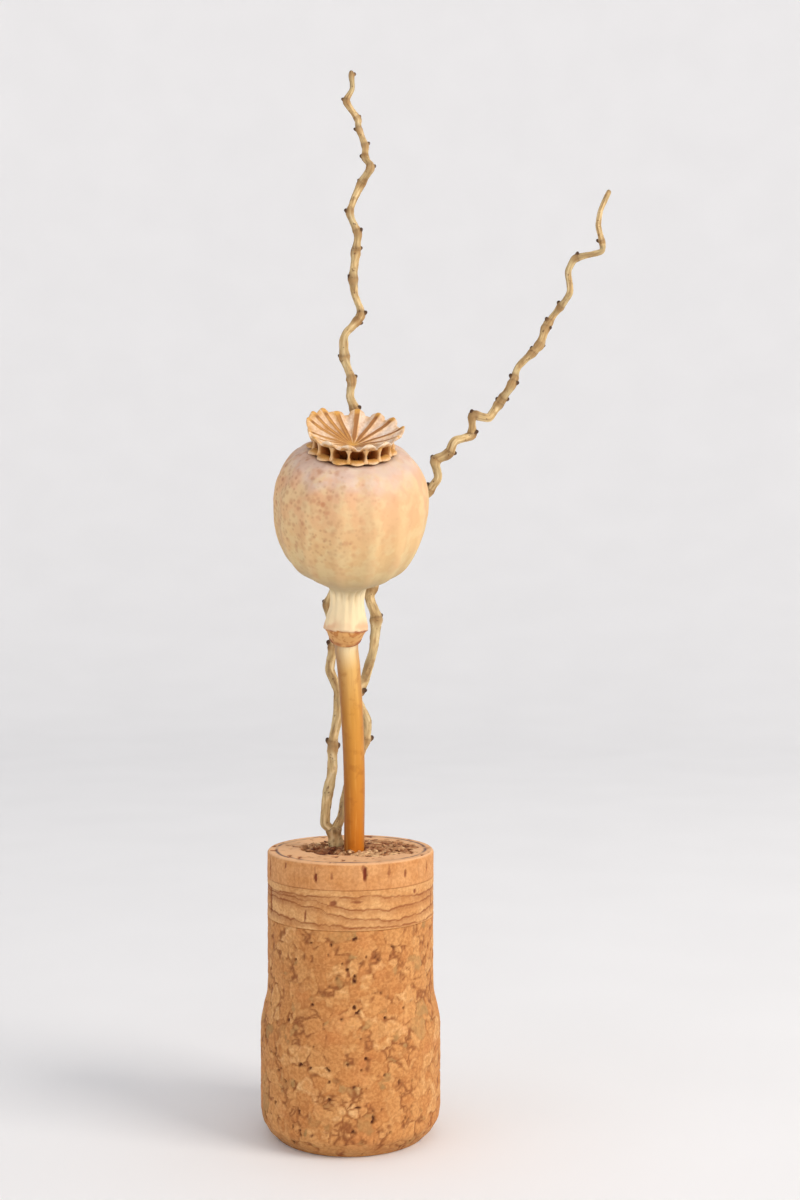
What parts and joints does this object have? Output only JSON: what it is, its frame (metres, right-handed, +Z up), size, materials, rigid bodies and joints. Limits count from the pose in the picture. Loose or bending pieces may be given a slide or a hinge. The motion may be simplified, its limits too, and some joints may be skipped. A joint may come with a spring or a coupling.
{
  "type": "dried poppy seed head in a cork",
  "caption": "Dried poppy seed pod with a rayed crown, nodding on its stem in a used sparkling-wine cork, with a forked zigzag twig behind it.",
  "frame": {"origin": "centre of the cork's flat foot, which the part stands on", "axes": "+Z up along the cork's axis, -Y towards the front, where the pod nods, and +X to the right, where the leaning twig goes"},
  "size_m": [0.0599, 0.0473, 0.1799],
  "materials": {
    "agglomerated_cork": "pressed cork granules in tan, rust and grey-olive with dark seams, matt",
    "natural_cork": "sliced natural cork with wavy brown growth lines and dark lenticels, matt",
    "cork_crumbs": "loose brown cork crumbs held by glue, matt",
    "straw_stem": "smooth dry stem, amber, with a slight sheen",
    "capsule_skin": "dry peach skin with a pale bloom and fine brown speckles, satin",
    "crown_skin": "dry amber rays on a thin pale membrane, matt",
    "twig_bark": "wrinkled khaki bark with dark bud scars, matt"
  },
  "bodies": {
    "root": {"cork_body": "agglomerated_cork", "cork_disc_inner": "natural_cork", "cork_disc_outer": "natural_cork", "cork_packing": "cork_crumbs", "poppy_stem": "straw_stem", "poppy_capsule": "capsule_skin", "poppy_crown": "crown_skin", "kinked_twig": "twig_bark"}
  },
  "joints": []
}
